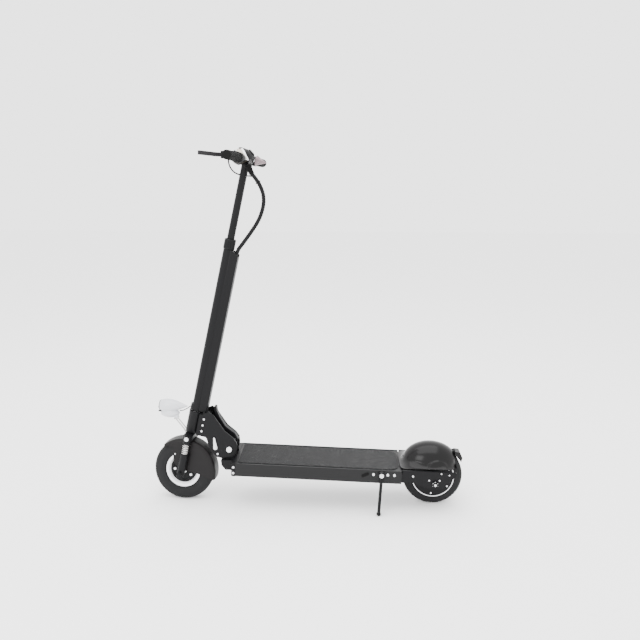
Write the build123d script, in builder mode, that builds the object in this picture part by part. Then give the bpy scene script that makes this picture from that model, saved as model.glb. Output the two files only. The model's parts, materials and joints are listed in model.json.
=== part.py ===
from build123d import *
import math
import os

# Electric kick scooter: two 8 inch wheels, a folding and steering front end with a short sprung
# fork, a telescopic handlebar post, and a hub motor in the rear wheel.
# World frame: +X forward, +Y to the rider's left, +Z up, ground at Z = 0, millimetres.

os.makedirs("parts", exist_ok=True)

# ---------------------------------------------------------------- driving dimensions
# Wheels
FRONT_AXLE_X = 407.5
FRONT_WHEEL_R = 100.0
REAR_AXLE_X = -410.5
REAR_WHEEL_R = 97.0
TYRE_HALF_WIDTH = 24.0
TREAD_HALF = 9.0                # the flat middle of the tread
FRONT_RIM_R = 58.0
HUB_R = 44.0
MOTOR_R = 70.0
FIT = 0.05                      # radial clearance of a running fit

# Steering
RAKE = 12.0                     # lean of the steering axis, degrees
STEER_REST = 6.0                # the front end stands turned a little to the right
STEERER_R = 14.0
HEAD_BOTTOM = 130.5             # heights along the steering axis, from the front axle
HEAD_TOP = 204.0
STEM_BOTTOM = 206.0
STEM_TOP = 749.0
COLLAR_TOP = 783.0
BAR_HEIGHT = 1040.0
STEM_TUBE_R = 16.5
CHANNEL_DEPTH = 37.0
CHANNEL_HALF_WIDTH = 13.0
POST_R = 12.0
POST_BOTTOM = 565.0
LEG_Y = 40.5
STANCHION_R = 8.0
CROWN_BOTTOM = 113.5
CROWN_TOP = 129.5
SOCKET_BOTTOM = 100.0
LOWER_TOP = 66.0
STANCHION_BOTTOM = 22.0
STEERER_TOP = 300.0
FENDER_FRONT = 52.0             # angles of the front fender's ends, degrees
FENDER_BACK = 193.0
SKIRT_FRONT = 30.0

CABLE_R = 6.5                   # the main cable, which leaves the channel behind the stem
LAMP_FRONT = 80.0               # headlight, from the front axle, upright
LAMP_Z = 210.0
LAMP_REAR = -14.0
LOBE_Z = 186.0
LOBE_REAR = 15.0
LAMP_FOOT = (27.0, 170.0)

# Folding joint
LEVER_HALF = 9.0
PIVOT_X = 253.0
PIVOT_Z = 179.0
PLATE_IN = 26.0                 # inner face of the folding plates
PLATE_OUT = 32.0
CHEEK_IN = 18.0
CHEEK_OUT = 25.9
PIVOT_R = 6.0

# Deck
DECK_PITCH = 1.75               # the deck rises towards the front, degrees
DECK_TOP_Z = 147.0
DECK_FRONT = 225.0
DECK_REAR = -305.0
DECK_HALF_WIDTH = 83.0
DECK_DEPTH = 43.0
WALL = 3.0
ARM_IN = 74.0
ARM_OUT = DECK_HALF_WIDTH - WALL
ARM_BOLTS = (-216.0, -261.0, -282.0)
KICKSTAND_X = -241.0
STAND_PIVOT = (KICKSTAND_X, -11.0)
BOLT_LINE = -13.5
STAND_BOLT_R = 5.0
STAND_Y = 90.0
FOOT_X = -232.0
FOOT_Y = 104.0
FOOT_R = 7.0
CHARGE_PLACE = (-190.0, -16.0)
FENDER_BASE = 138.0
DOME_X = -403.0
DOME_SIZE = (92.5, 60.0, 66.0)  # half axes of the rear fender's dome
REAR_FENDER_END = -482.0
TAIL_END = -507.5
AXLE_R = 6.0

# Handlebar
BAR_R = 11.1
BAR_HALF = 221.0
GRIP_IN = 108.0
GRIP_END = 225.0
GRIP_R = 14.0

BUTTON_R = 6.0
BUTTON_TOP = 36.0
BUTTON_NAMES = ("power_button", "mode_button")
BUTTON_PLACES = ((14.0, 17.0), (14.0, -17.0))
DISPLAY_R = 12.0
DISPLAY_LEAN = -50.0            # its face looks back and up at the rider
DISPLAY_PLACE = (-17.4, 21.7)

# ---------------------------------------------------------------- places
HEAD = Location((FRONT_AXLE_X, 0, FRONT_WHEEL_R), (0, -RAKE, 0))
STEER = HEAD * Location((0, 0, 0), (0, 0, -STEER_REST))
LEVEL = STEER * Location((0, 0, 0), (0, RAKE, 0))       # turns with the fork, but its Z is upright
BAR = STEER * Location((0, 0, BAR_HEIGHT), (0, RAKE, 0))
DECK = Location((0, 0, DECK_TOP_Z), (0, -DECK_PITCH, 0))
REAR = Location((REAR_AXLE_X, 0, REAR_WHEEL_R))
WORLD = Location((0, 0, 0))


def upright_to_steer(x, z):
    """A point of the upright front frame, in coordinates along and square to the steering axis."""
    lean = math.radians(RAKE)
    return (x * math.cos(lean) + z * math.sin(lean), -x * math.sin(lean) + z * math.cos(lean))


LAMP_FOOT_STEER = upright_to_steer(*LAMP_FOOT)


def save(builder, name, place):
    """Put a finished piece in its place on the scooter and write it to its own file."""
    piece = builder.part.moved(place)
    piece.label = name
    export_step(piece, f"parts/{name}.step")


def side_plane(y):
    """A sketch plane seen from the right, at a height y across the scooter: its x is X, its y is Z."""
    return Plane(origin=(0, y, 0), x_dir=(1, 0, 0), z_dir=(0, -1, 0))


# ================================================================ front wheel
def tyre_profile(bead_r, crown_r):
    """Half section of a tyre: x is the radius, y runs along the axle."""
    shoulder = crown_r - 5
    middle = (bead_r + shoulder) / 2
    with BuildSketch() as profile:
        with BuildLine():
            Line((bead_r, -19), (bead_r, 19))
            ThreePointArc((bead_r, 19), (middle, TYRE_HALF_WIDTH), (shoulder, 19))
            ThreePointArc((shoulder, 19), (crown_r - 1.4, 15), (crown_r, TREAD_HALF))
            Line((crown_r, TREAD_HALF), (crown_r, -TREAD_HALF))
            ThreePointArc((crown_r, -TREAD_HALF), (crown_r - 1.4, -15), (shoulder, -19))
            ThreePointArc((shoulder, -19), (middle, -TYRE_HALF_WIDTH), (bead_r, -19))
        make_face()
    return profile.sketch


with BuildPart() as front_tyre:
    add(tyre_profile(FRONT_RIM_R, FRONT_WHEEL_R))
    revolve(axis=Axis.Y)
save(front_tyre, "front_tyre", LEVEL)

with BuildPart() as front_rim:
    with BuildSketch():
        with BuildLine():
            Polyline((HUB_R, -12), (50, -19), (FRONT_RIM_R, -19), (FRONT_RIM_R, 19), (50, 19), (HUB_R, 12),
                     close=True)
        make_face()
    revolve(axis=Axis.Y)
save(front_rim, "front_rim", LEVEL)

HUB_HALF = 14.0
BEARING_R = 13.0
with BuildPart() as front_hub:
    with BuildSketch(side_plane(-HUB_HALF)):
        Circle(HUB_R)
        Circle(BEARING_R, mode=Mode.SUBTRACT)
    extrude(amount=-2 * HUB_HALF)
    for face_y, outward in ((HUB_HALF, -1), (-HUB_HALF, 1)):
        with BuildSketch(side_plane(face_y)):
            Circle(HUB_R - 8)
            Circle(BEARING_R + 6, mode=Mode.SUBTRACT)
        extrude(amount=outward * -3, mode=Mode.SUBTRACT)
    with Locations(side_plane(0).location):
        with PolarLocations(30, 5):
            Cylinder(2.6, 2 * HUB_HALF + 2, mode=Mode.SUBTRACT)
save(front_hub, "front_hub", LEVEL)

with BuildPart() as hub_bolts:
    with Locations(side_plane(0).location):
        with PolarLocations(30, 5):
            Cylinder(2.5, 2 * HUB_HALF - 6)
    for side in (1, -1):
        with Locations(side_plane(side * (HUB_HALF - 1)).location):
            with PolarLocations(30, 5):
                Cylinder(4.2, 4)
save(hub_bolts, "front_hub_bolts", LEVEL)

with BuildPart() as front_bearings:
    for side in (1, -1):
        with BuildSketch(side_plane(side * 9)):
            Circle(BEARING_R)
            Circle(5 + FIT, mode=Mode.SUBTRACT)
        extrude(amount=4, both=True)
save(front_bearings, "front_wheel_bearings", LEVEL)

# ================================================================ fork
with BuildPart() as front_axle:
    with Locations(side_plane(0).location):
        Cylinder(5, 2 * (LEG_Y + 13))
    for side in (1, -1):
        with BuildSketch(side_plane(side * (LEG_Y + 13.5))):
            RegularPolygon(9, 6)
        extrude(amount=side * -6)
        with BuildSketch(side_plane(side * 17)):
            Circle(8)
            Circle(5, mode=Mode.SUBTRACT)
        extrude(amount=side * -10)
save(front_axle, "front_axle", LEVEL)

with BuildPart() as fork_lowers:
    for side in (1, -1):
        with Locations((0, side * LEG_Y, (LOWER_TOP - 16) / 2)):
            Cylinder(13, LOWER_TOP + 16)
        with Locations((0, side * LEG_Y, LOWER_TOP - 30)):
            Cylinder(STANCHION_R + FIT, 60.1, mode=Mode.SUBTRACT)
    with Locations(side_plane(0).location):
        Cylinder(5, 200, mode=Mode.SUBTRACT)
save(fork_lowers, "fork_lowers", STEER)

with BuildPart() as fork_crown:
    with Locations((0, 0, (CROWN_BOTTOM + CROWN_TOP) / 2)):
        Box(30, 2 * LEG_Y, CROWN_TOP - CROWN_BOTTOM)
    for side in (1, -1):
        with Locations((0, side * LEG_Y, (SOCKET_BOTTOM + CROWN_TOP) / 2)):
            Cylinder(12.5, CROWN_TOP - SOCKET_BOTTOM)
    fillet(fork_crown.edges().filter_by(GeomType.CIRCLE).group_by(Axis.Z)[-1], 2)
    with Locations((0, 0, (CROWN_TOP + STEERER_TOP) / 2)):
        Cylinder(STEERER_R, STEERER_TOP - CROWN_TOP)
        Cylinder(STEERER_R - 3, STEERER_TOP - CROWN_TOP, mode=Mode.SUBTRACT)
    for side in (1, -1):
        with Locations((0, side * LEG_Y, (SOCKET_BOTTOM + CROWN_TOP - 4) / 2)):
            Cylinder(STANCHION_R, CROWN_TOP - 4 - SOCKET_BOTTOM, mode=Mode.SUBTRACT)
save(fork_crown, "fork_crown", STEER)

with BuildPart() as fork_stanchions:
    for side in (1, -1):
        with Locations((0, side * LEG_Y, (STANCHION_BOTTOM + CROWN_TOP - 4) / 2)):
            Cylinder(STANCHION_R, CROWN_TOP - 4 - STANCHION_BOTTOM)
            Cylinder(STANCHION_R - 2, CROWN_TOP - 4 - STANCHION_BOTTOM, mode=Mode.SUBTRACT)
save(fork_stanchions, "fork_stanchions", STEER)

SPRING_WIRE = 1.4
SPRING_R = 10.2
with BuildPart() as fork_springs:
    for side in (1, -1):
        coil_height = SOCKET_BOTTOM - LOWER_TOP - 2 * SPRING_WIRE - 0.6
        start = (0, side * LEG_Y, LOWER_TOP + SPRING_WIRE + 0.3)
        with BuildLine() as coil:
            Helix(pitch=coil_height / 5, height=coil_height, radius=SPRING_R, center=start)
        with BuildSketch(Plane(origin=coil.line @ 0, z_dir=coil.line % 0)):
            Circle(SPRING_WIRE)
        sweep(path=coil.line)
save(fork_springs, "fork_springs", STEER)

with BuildPart() as fork_bolts:
    for side in (1, -1):
        with BuildSketch(side_plane(side * (LEG_Y + 12.5))):
            with Locations((0, CROWN_BOTTOM + 7)):
                RegularPolygon(7.5, 6)
        extrude(amount=side * -5)
save(fork_bolts, "fork_bolts", STEER)

# ================================================================ front fender
FENDER_R = 108.5
FENDER_CENTRE = (-2.0, -3.0)    # of its arc, from the axle
FENDER_SKIN = 2.0
FENDER_BAND = 99.0              # how far in towards the axle its rolled sides reach
SKIRT_IN = 25.2
SKIRT_OUT = SKIRT_IN + FENDER_SKIN


def fender_section(half_width, outer, corner):
    """Half section of the fender's arc: x is the radius, y runs along the axle."""
    with BuildSketch() as section:
        with BuildLine():
            Polyline((60, half_width), (outer, half_width), (outer, -half_width), (60, -half_width),
                     close=True)
        make_face()
        fillet(section.vertices().group_by(Axis.X)[-1], corner)
    return section.sketch


def on_fender(degrees, radius):
    """A point at an angle and a radius from the middle of the fender's arc."""
    angle = math.radians(degrees)
    return (FENDER_CENTRE[0] + radius * math.cos(angle), FENDER_CENTRE[1] + radius * math.sin(angle))


with BuildPart() as fender_arc:
    with BuildSketch():
        add(fender_section(SKIRT_OUT, FENDER_R, 11))
        add(fender_section(SKIRT_IN, FENDER_R - FENDER_SKIN, 9), mode=Mode.SUBTRACT)
    revolve(axis=Axis.Y)
    with Locations(side_plane(0).location):
        Cylinder(FENDER_BAND, 100, mode=Mode.SUBTRACT)

SKIRT_EDGE = [(SKIRT_FRONT, 79.5), (SKIRT_FRONT, 30), (10, 4), (-30, -3), (-52, -7)]
with BuildPart() as front_fender:
    with Locations((FENDER_CENTRE[0], 0, FENDER_CENTRE[1])):
        add(fender_arc.part)
    with BuildSketch(side_plane(-SKIRT_OUT - 1)):
        with BuildLine():
            Polyline(FENDER_CENTRE, on_fender(FENDER_FRONT, 200), on_fender(110, 300),
                     on_fender(FENDER_BACK, 200),
                     close=True)
        make_face()
    extrude(amount=-2 * SKIRT_OUT - 2, mode=Mode.INTERSECT)
    for side in (1, -1):
        with BuildSketch(side_plane(side * SKIRT_IN)):
            with BuildLine():
                start = on_fender(56, FENDER_BAND + 0.5)
                middle = on_fender(120, FENDER_BAND + 0.5)
                end = on_fender(FENDER_BACK, FENDER_BAND + 0.5)
                ThreePointArc(start, middle, end)
                Polyline(start, *SKIRT_EDGE, end)
            make_face()
            Circle(8.3, mode=Mode.SUBTRACT)
        extrude(amount=side * -FENDER_SKIN)
save(front_fender, "front_fender", LEVEL)

# ================================================================ head tube and folding plates
with BuildPart() as head_tube:
    head_length = HEAD_TOP - HEAD_BOTTOM
    with Locations((0, 0, HEAD_BOTTOM + head_length / 2)):
        Cylinder(22.5, head_length)
    with Locations((-32.5, 0, HEAD_BOTTOM + 3 + 34)):
        Box(33, 2 * PLATE_IN, 68)
    with Locations((0, 0, HEAD_BOTTOM + head_length / 2)):
        Cylinder(20, head_length, mode=Mode.SUBTRACT)
save(head_tube, "head_tube", HEAD)

with BuildPart() as headset_bearings:
    for low in (HEAD_BOTTOM, HEAD_TOP - 11):
        with BuildSketch(Plane.XY.offset(low)):
            Circle(20)
            Circle(STEERER_R + FIT, mode=Mode.SUBTRACT)
        extrude(amount=11)
save(headset_bearings, "headset_bearings", HEAD)

PLATE_OUTLINE = [(345, 292), (319, 304), (303, 292), (268, 240), (240, 217), (227, 199), (225, 180)]
PLATE_UNDERSIDE = [(232, 163), (247, 155), (262, 152), (278, 148), (294, 152), (306, 164), (320, 190),
                   (329, 217.5),
                   (363, 226)]
SCREW_PLACES = [(334, 279), (339, 259), (343, 239)]
with BuildPart() as fold_plates:
    for side in (1, -1):
        with BuildSketch(side_plane(side * PLATE_IN)) as plate_sketch:
            with BuildLine():
                Polyline(*PLATE_OUTLINE, *PLATE_UNDERSIDE, close=True)
            make_face()
            fillet(plate_sketch.vertices(), 5)
            with Locations((PIVOT_X, PIVOT_Z)):
                Circle(PIVOT_R, mode=Mode.SUBTRACT)
        extrude(amount=side * -(PLATE_OUT - PLATE_IN))
save(fold_plates, "fold_plates", WORLD)

with BuildPart() as plate_screws:
    for side in (1, -1):
        with BuildSketch(side_plane(side * PLATE_OUT)):
            with Locations(*SCREW_PLACES):
                Circle(3.6)
            with Locations((291, 163)):
                Circle(3.6)
        extrude(amount=side * -2.4)
save(plate_screws, "plate_screws", WORLD)

LEVER_PIN = (238, 204)
LATCH_EYE = (298, 184)
with BuildPart() as fold_pins:
    with Locations(side_plane(0).location):
        with Locations((PIVOT_X, PIVOT_Z)):
            Cylinder(PIVOT_R, 2 * PLATE_OUT)
    for side in (1, -1):
        with BuildSketch(side_plane(side * PLATE_OUT)):
            with Locations((PIVOT_X, PIVOT_Z)):
                Circle(9.5)
        extrude(amount=side * -5)
    fillet(fold_pins.edges().filter_by(GeomType.CIRCLE).group_by(Axis.Y)[0], 1.5)
    fillet(fold_pins.edges().filter_by(GeomType.CIRCLE).group_by(Axis.Y)[-1], 1.5)
    with Locations(side_plane(0).location):
        with Locations(LEVER_PIN):
            Cylinder(3.5, 2 * PLATE_IN)
    with BuildSketch(side_plane(PLATE_OUT)):
        with Locations(LATCH_EYE):
            Circle(3)
    extrude(amount=-5)
    with BuildSketch(side_plane(PLATE_OUT + 4.2)):
        with Locations(LATCH_EYE):
            Circle(4.5)
    extrude(amount=-2)
save(fold_pins, "fold_pins", WORLD)

with BuildPart() as fold_lever:
    with BuildSketch(side_plane(-LEVER_HALF)) as lever_sketch:
        with BuildLine():
            Polyline((246, 206), (256, 221), (276, 241), (296, 276), (304, 296), (306, 314), (298, 315),
                     (296, 300),
                     (288, 280), (268, 247), (238, 224), (227, 206), (230, 196), (240, 196), close=True)
        make_face()
        fillet(lever_sketch.vertices(), 2.5)
        with Locations(LEVER_PIN):
            Circle(3.5 + FIT, mode=Mode.SUBTRACT)
    extrude(amount=-2 * LEVER_HALF)
save(fold_lever, "fold_lever", WORLD)

with BuildPart() as latch_lever:
    with BuildSketch(side_plane(PLATE_OUT + FIT)) as latch_sketch:
        with Locations(LATCH_EYE):
            Circle(6.5)
        with BuildLine():
            Polyline((292, 186), (299, 218), (304, 219), (304.5, 184), close=True)
        make_face()
        with Locations(LATCH_EYE):
            Circle(3 + FIT, mode=Mode.SUBTRACT)
    extrude(amount=-4)
save(latch_lever, "latch_lever", WORLD)

# ================================================================ neck bracket on the front of the deck
def in_deck(x, z):
    """A world point of the side view, in the deck's own tilted coordinates."""
    tilt = math.radians(DECK_PITCH)
    rise = z - DECK_TOP_Z
    return (x * math.cos(tilt) + rise * math.sin(tilt), -x * math.sin(tilt) + rise * math.cos(tilt))


PIVOT_IN_DECK = in_deck(PIVOT_X, PIVOT_Z)
NOSE_HALF = 40.0
with BuildPart() as neck_bracket:
    with Locations((DECK_FRONT + 7, 0, -DECK_DEPTH / 2)):
        Box(14, 2 * DECK_HALF_WIDTH, DECK_DEPTH)
    fillet(neck_bracket.edges().filter_by(Axis.Z).group_by(Axis.X)[-1], 8)
    with Locations((DECK_FRONT - 10, 0, -DECK_DEPTH / 2 - 2)):
        Box(20, 2 * (ARM_OUT - 0.1), DECK_DEPTH - 14)
    with BuildSketch(side_plane(-NOSE_HALF)):
        with BuildLine():
            Polyline((DECK_FRONT, -DECK_DEPTH), (264, -DECK_DEPTH), (277, -28), (280, -11), (DECK_FRONT, -9),
                     close=True)
        make_face()
    extrude(amount=-2 * NOSE_HALF)
    for side in (1, -1):
        with BuildSketch(side_plane(side * CHEEK_IN)):
            with BuildLine():
                Polyline((DECK_FRONT + 4, -1), (DECK_FRONT, -DECK_DEPTH), (262, -DECK_DEPTH), (274, -26),
                         (PIVOT_IN_DECK[0] + 22, PIVOT_IN_DECK[1]),
                         (PIVOT_IN_DECK[0] - 20, PIVOT_IN_DECK[1]), close=True)
            make_face()
            with Locations(PIVOT_IN_DECK):
                Circle(22)
                Circle(9, mode=Mode.SUBTRACT)
        extrude(amount=side * -(CHEEK_OUT - CHEEK_IN))
save(neck_bracket, "neck_bracket", DECK)

with BuildPart() as neck_bushes:
    for side in (1, -1):
        with BuildSketch(side_plane(side * CHEEK_IN)):
            with Locations(PIVOT_IN_DECK):
                Circle(9)
                Circle(PIVOT_R + FIT, mode=Mode.SUBTRACT)
        extrude(amount=side * -(CHEEK_OUT - CHEEK_IN))
save(neck_bushes, "neck_bushes", DECK)

# ================================================================ steering column
with BuildPart() as outer_stem:
    with Locations((0, 0, (STEM_BOTTOM + STEM_TOP) / 2)):
        Cylinder(STEM_TUBE_R, STEM_TOP - STEM_BOTTOM)
    with BuildSketch(side_plane(-CHANNEL_HALF_WIDTH)):
        with BuildLine():
            Polyline((0, STEM_BOTTOM), (0, STEM_TOP), (-14, STEM_TOP), (-CHANNEL_DEPTH, STEM_TOP - 11),
                     (-CHANNEL_DEPTH, STEM_BOTTOM), close=True)
        make_face()
    extrude(amount=-2 * CHANNEL_HALF_WIDTH)
    fillet(outer_stem.edges().filter_by(Axis.Z).group_by(Axis.X)[0], 4)
    with Locations((6, 0, STEM_BOTTOM + 9)):
        Cylinder(STEM_TUBE_R - 1, 18)
    with Locations((0, 0, (STEM_BOTTOM + STEERER_TOP) / 2)):
        Cylinder(STEERER_R, STEERER_TOP - STEM_BOTTOM, mode=Mode.SUBTRACT)
    with Locations((0, 0, (STEERER_TOP + STEM_TOP) / 2)):
        Cylinder(POST_R + FIT, STEM_TOP - STEERER_TOP, mode=Mode.SUBTRACT)
    with BuildSketch(side_plane(-CHANNEL_HALF_WIDTH + 3)):
        with BuildLine():
            Polyline((-19, STEM_BOTTOM + 6), (-19, STEM_TOP - 6), (-34, STEM_TOP - 13),
                     (-34, STEM_BOTTOM + 6), close=True)
        make_face()
    extrude(amount=-2 * (CHANNEL_HALF_WIDTH - 3), mode=Mode.SUBTRACT)
    with Locations((-CHANNEL_DEPTH, 0, STEM_TOP + 1)):
        Box(40, 2 * (CABLE_R + 1.5), 36, mode=Mode.SUBTRACT)
save(outer_stem, "outer_stem", STEER)

with BuildPart() as lock_collar:
    with Locations((0, 0, (STEM_TOP + 0.2 + COLLAR_TOP) / 2)):
        Cylinder(18.5, COLLAR_TOP - STEM_TOP - 0.2)
    chamfer(lock_collar.edges().filter_by(GeomType.CIRCLE), 2)
    with Locations((0, 0, (STEM_TOP + COLLAR_TOP) / 2)):
        with PolarLocations(19.5, 12):
            Cylinder(2, 20, mode=Mode.SUBTRACT)
    with Locations((0, 0, (STEM_TOP + COLLAR_TOP) / 2)):
        Cylinder(POST_R + FIT, COLLAR_TOP - STEM_TOP, mode=Mode.SUBTRACT)
save(lock_collar, "lock_collar", STEER)

# ================================================================ headlight
ARM_Y = 7.0
with BuildPart() as headlight_bracket:
    with Locations((17, 0, 121)):
        Box(4, 24, 13)
    for y in (ARM_Y, -ARM_Y):
        with BuildLine() as arm:
            Polyline((18, y, 121), (28, y, 133), (61, y, 158.5))
        with BuildSketch(Plane(origin=arm.line @ 0, z_dir=arm.line % 0)):
            Circle(2)
        sweep(path=arm.line, transition=Transition.ROUND)
    with Locations(Location((LAMP_FOOT_STEER[0], 0, LAMP_FOOT_STEER[1]), (0, RAKE, 0))):
        Box(12, 20, 3, align=(Align.CENTER, Align.CENTER, Align.MAX))
save(headlight_bracket, "headlight_bracket", STEER)

with BuildPart() as headlight_shell:
    with BuildSketch(Plane.XZ):
        with BuildLine():
            Polyline((LAMP_REAR, LAMP_Z), (LAMP_FRONT, LAMP_Z), (LAMP_FRONT, LAMP_Z + 17))
            Spline((LAMP_FRONT, LAMP_Z + 17), (LAMP_FRONT - 26, LAMP_Z + 21), (LAMP_FRONT - 62, LAMP_Z + 13),
                   (LAMP_REAR, LAMP_Z))
        make_face()
    revolve(axis=Axis((0, 0, LAMP_Z), (1, 0, 0)))
    with BuildSketch(Plane.XZ):
        with BuildLine():
            Polyline((LOBE_REAR, LOBE_Z), (LAMP_FRONT - 3, LOBE_Z), (LAMP_FRONT - 3, LOBE_Z + 10))
            Spline((LAMP_FRONT - 3, LOBE_Z + 10), (LAMP_FRONT - 28, LOBE_Z + 16.5),
                   (LAMP_FRONT - 52, LOBE_Z + 12),
                   (LOBE_REAR, LOBE_Z))
        make_face()
    revolve(axis=Axis((0, 0, LOBE_Z), (1, 0, 0)))
    with Locations((LAMP_FOOT[0], 0, LAMP_FOOT[1] + 5)):
        Box(12, 14, 10)
    with Locations((LAMP_FRONT - 10, 0, LAMP_Z)):
        Cylinder(14.5, 22, rotation=(0, 90, 0), mode=Mode.SUBTRACT)
save(headlight_shell, "headlight_shell", LEVEL)

with BuildPart() as headlight_lens:
    with Locations((LAMP_FRONT - 5, 0, LAMP_Z)):
        Cylinder(14.5, 8, rotation=(0, 90, 0))
    fillet(headlight_lens.edges().filter_by(GeomType.CIRCLE).group_by(Axis.X)[-1], 3)
save(headlight_lens, "headlight_lens", LEVEL)

# ================================================================ handlebar post, bar and grips
with BuildPart() as handlebar_post:
    with Locations((0, 0, (POST_BOTTOM + BAR_HEIGHT) / 2)):
        Cylinder(POST_R, BAR_HEIGHT - POST_BOTTOM)
    with Locations((0, 0, BAR_HEIGHT)):
        Box(29, 44, 28)
    fillet(handlebar_post.edges().filter_by(Axis.Y), 6)
    with Locations((0, 0, BAR_HEIGHT)):
        Cylinder(BAR_R, 44, rotation=(90, 0, 0), mode=Mode.SUBTRACT)
    with Locations((0, 0, (POST_BOTTOM + BAR_HEIGHT - 24) / 2)):
        Cylinder(POST_R - 2, BAR_HEIGHT - 24 - POST_BOTTOM, mode=Mode.SUBTRACT)
save(handlebar_post, "handlebar_post", STEER)

with BuildPart() as handlebar:
    Cylinder(BAR_R, 2 * BAR_HALF, rotation=(90, 0, 0))
    Cylinder(BAR_R - 2, 2 * BAR_HALF, rotation=(90, 0, 0), mode=Mode.SUBTRACT)
save(handlebar, "handlebar", BAR)

for side, grip_name in ((1, "grip_left"), (-1, "grip_right")):
    with BuildPart() as grip:
        with Locations((0, side * (GRIP_IN + GRIP_END) / 2, 0)):
            Cylinder(GRIP_R, GRIP_END - GRIP_IN, rotation=(90, 0, 0))
        with Locations((0, side * (GRIP_IN + 3), 0)):
            Cylinder(GRIP_R + 2.5, 6, rotation=(90, 0, 0))
        fillet(grip.edges().filter_by(GeomType.CIRCLE), 1.2)
        with Locations((0, side * (GRIP_IN + BAR_HALF) / 2, 0)):
            Cylinder(BAR_R, BAR_HALF - GRIP_IN, rotation=(90, 0, 0), mode=Mode.SUBTRACT)
    save(grip, grip_name, BAR)

# ================================================================ cockpit
POD_SIZE = (35.0, 68.0, 27.0)
POD_PLACE = (12.0, 0.0, 7.0)
POD_SKIN = 3.0
with BuildPart() as pod_hollow:
    Sphere(1)
    scale(by=tuple(half - POD_SKIN for half in POD_SIZE))

with BuildPart() as cockpit_shell:
    Sphere(1)
    scale(by=POD_SIZE)
    add(pod_hollow.part, mode=Mode.SUBTRACT)
    with Locations((-POD_PLACE[0], 0, -POD_PLACE[2])):
        Cylinder(BAR_R + 0.4, 200, rotation=(90, 0, 0), mode=Mode.SUBTRACT)
    with Locations((-POD_PLACE[0] + 2, 0, -30)):
        Box(50, 58, 46, mode=Mode.SUBTRACT)
    for button_x, button_y in BUTTON_PLACES:
        with Locations((button_x - POD_PLACE[0], button_y, 20)):
            Cylinder(BUTTON_R + 0.3, 30, mode=Mode.SUBTRACT)
    with Locations((DISPLAY_PLACE[0] - POD_PLACE[0], 0, DISPLAY_PLACE[1] - POD_PLACE[2])):
        Cylinder(DISPLAY_R, 14, rotation=(0, DISPLAY_LEAN, 0), mode=Mode.SUBTRACT)
save(cockpit_shell, "cockpit_shell", BAR * Location(POD_PLACE))

with BuildPart() as display_unit:
    with Locations((0, 0, -2)):
        Cylinder(DISPLAY_R - 0.2, 6)
    with Locations((0, 0, 1.4)):
        Cylinder(DISPLAY_R - 2.5, 0.8)
DISPLAY = BAR * Location((DISPLAY_PLACE[0], 0, DISPLAY_PLACE[1]), (0, DISPLAY_LEAN, 0))
save(display_unit, "display_unit", DISPLAY)

for button_name, button_place in zip(BUTTON_NAMES, BUTTON_PLACES):
    with BuildPart() as button:
        with Locations((button_place[0], button_place[1], BUTTON_TOP - 6)):
            Cylinder(BUTTON_R, 12)
        fillet(button.edges().filter_by(GeomType.CIRCLE).group_by(Axis.Z)[-1], 1.5)
    save(button, button_name, BAR)

# ================================================================ brake lever on the left, throttle on the right
LEVER_ROOT = (50.0, 94.0)
LEVER_Z = 8.5
LEVER_THICK = 12.0
with BuildPart() as brake_perch:
    with Locations((0, 94, 0)):
        Cylinder(16, 20, rotation=(90, 0, 0))
    with Locations((30, 94, LEVER_Z)):
        Box(46, 16, LEVER_THICK + 10)
    with Locations((52, 94, LEVER_Z)):
        Box(28, 24, LEVER_THICK + 0.2, mode=Mode.SUBTRACT)
    with Locations((LEVER_ROOT[0], LEVER_ROOT[1], LEVER_Z)):
        Cylinder(3, LEVER_THICK + 10)
    with Locations((0, 94, 0)):
        Cylinder(BAR_R, 20, rotation=(90, 0, 0), mode=Mode.SUBTRACT)
save(brake_perch, "brake_perch", BAR)

with BuildPart() as brake_lever:
    with BuildSketch(Plane.XY.offset(LEVER_Z - LEVER_THICK / 2)) as lever_shape:
        with Locations(LEVER_ROOT):
            Circle(7)
        with BuildLine():
            Polyline((46, 98), (56, 88), (72, 104), (82, 140), (95, 189), (88, 193), (74, 150), (62, 114),
                     close=True)
        make_face()
        fillet(lever_shape.vertices().group_by(Axis.Y)[-1], 2)
        with Locations(LEVER_ROOT):
            Circle(3 + FIT, mode=Mode.SUBTRACT)
    extrude(amount=LEVER_THICK)
save(brake_lever, "brake_lever", BAR)

with BuildPart() as throttle_housing:
    with Locations((0, -82, 0)):
        Cylinder(15, 22, rotation=(90, 0, 0))
    with BuildSketch(Plane(origin=(-11, -80, 1), z_dir=(-1, 0, -0.18))):
        Circle(17)
    with BuildSketch(Plane(origin=(-46, -80, -7), z_dir=(-1, 0, -0.18))):
        Circle(3)
    loft()
    with Locations((0, -82, 0)):
        Cylinder(BAR_R, 40, rotation=(90, 0, 0), mode=Mode.SUBTRACT)
save(throttle_housing, "throttle_housing", BAR)

TRIGGER_Y = -101.5
with BuildPart() as throttle_lever:
    with Locations((0, TRIGGER_Y, 0)):
        Cylinder(15, 7, rotation=(90, 0, 0))
    with Locations((12, TRIGGER_Y, -22)):
        Box(7, 7, 26)
    with Locations((12, TRIGGER_Y + 4.5, -32)):
        Box(7, 16, 12)
    with Locations((0, TRIGGER_Y, 0)):
        Cylinder(BAR_R + FIT, 10, rotation=(90, 0, 0), mode=Mode.SUBTRACT)
save(throttle_lever, "throttle_lever", BAR)

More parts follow.
